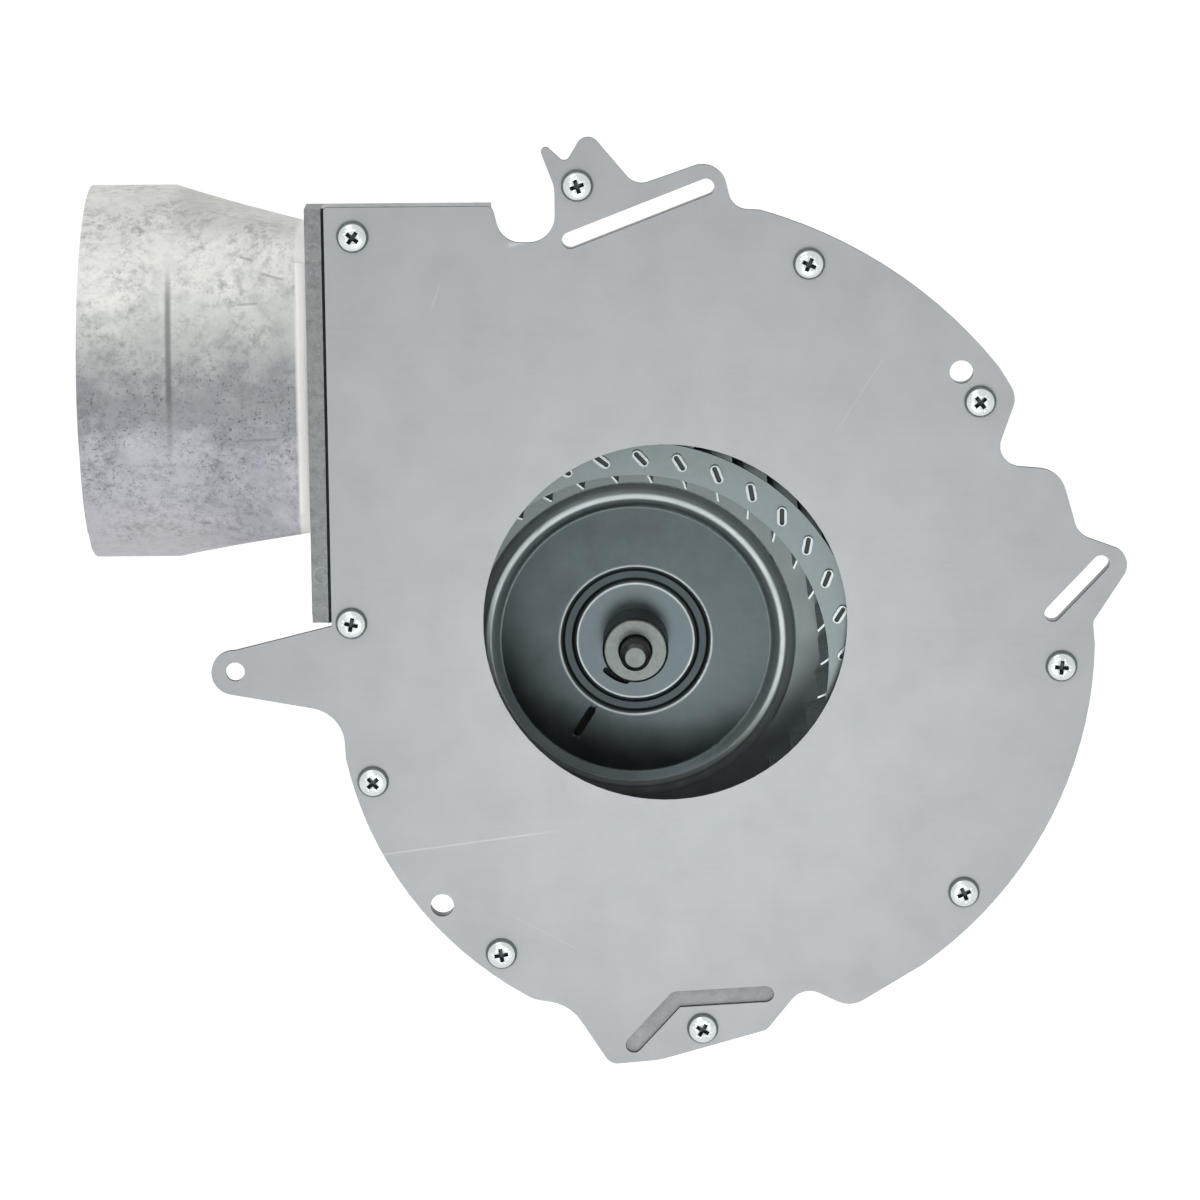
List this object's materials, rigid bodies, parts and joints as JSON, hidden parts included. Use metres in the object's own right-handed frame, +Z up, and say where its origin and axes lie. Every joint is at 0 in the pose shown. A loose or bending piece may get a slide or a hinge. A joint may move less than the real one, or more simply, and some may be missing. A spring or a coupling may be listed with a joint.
{
  "type": "draft inducer",
  "caption": "Furnace draft inducer: die-cast scroll with round vent collar, flat cover plate with inlet, bladed wheel and open-frame motor.",
  "frame": {"origin": "on the wheel axis, on the outer face of the cover plate", "axes": "+X away from the vent collar, +Y from the cover plate towards the motor along the wheel axis, +Z up as in the picture"},
  "size_m": [0.2739, 0.1195, 0.248],
  "materials": {
    "galvanised_cover": "galvanised sheet, smooth, fine spangle",
    "cast_housing": "die-cast, as cast",
    "galvanised_wheel": "pressed aluminised sheet",
    "zinc_screws": "bright zinc plate",
    "shaft_steel": "turned and ground steel",
    "black_oxide": "black oxide",
    "bracket_steel": "pressed zinc-plated steel",
    "lamination_steel": "varnished stamped stack",
    "copper": "enamelled copper",
    "bobbin_nylon": "moulded nylon",
    "coil_tape": "polyester tape",
    "terminal_brass": "tin-plated brass",
    "cast_zinc": "die-cast zinc",
    "sintered_bronze": "oil-filled sintered bronze",
    "fan_plastic": "moulded plastic",
    "grommet_rubber": "moulded rubber",
    "seal_rubber": "silicone rubber"
  },
  "bodies": {
    "housing": {"cover_plate": "galvanised_cover", "scroll_housing": "cast_housing", "cover_screws": "zinc_screws", "shaft_seal": "seal_rubber", "seal_plate": "galvanised_wheel", "seal_rivets": "zinc_screws", "motor_bracket": "bracket_steel", "vibration_grommets": "grommet_rubber", "grommet_sleeves": "zinc_screws", "mounting_washers": "zinc_screws", "mounting_screws": "zinc_screws", "stator_laminations": "lamination_steel", "shading_rings": "copper", "coil_bobbin": "bobbin_nylon", "stator_coil": "copper", "coil_tape": "coil_tape", "spade_terminals": "terminal_brass", "front_bearing_bracket": "cast_zinc", "rear_bearing_bracket": "cast_zinc", "front_bearing": "sintered_bronze", "rear_bearing": "sintered_bronze", "rear_bearing_cap": "bracket_steel", "motor_through_bolts": "zinc_screws", "through_bolt_nuts": "zinc_screws"},
    "rotor": {"motor_shaft": "shaft_steel", "rotor_core": "lamination_steel", "rotor_end_rings": "cast_housing", "thrust_washers": "bobbin_nylon", "cooling_fan": "fan_plastic", "wheel_hub": "shaft_steel", "hub_set_screw": "black_oxide", "impeller_back_plate": "galvanised_wheel", "impeller_blades": "galvanised_wheel", "impeller_ring": "galvanised_wheel"}
  },
  "joints": [
    {"name": "rotor_spin", "type": "hinge", "parent": "housing", "child": "rotor", "pos_m": [0, 0, 0], "axis": [0, 1, 0], "continuous": true}
  ]
}
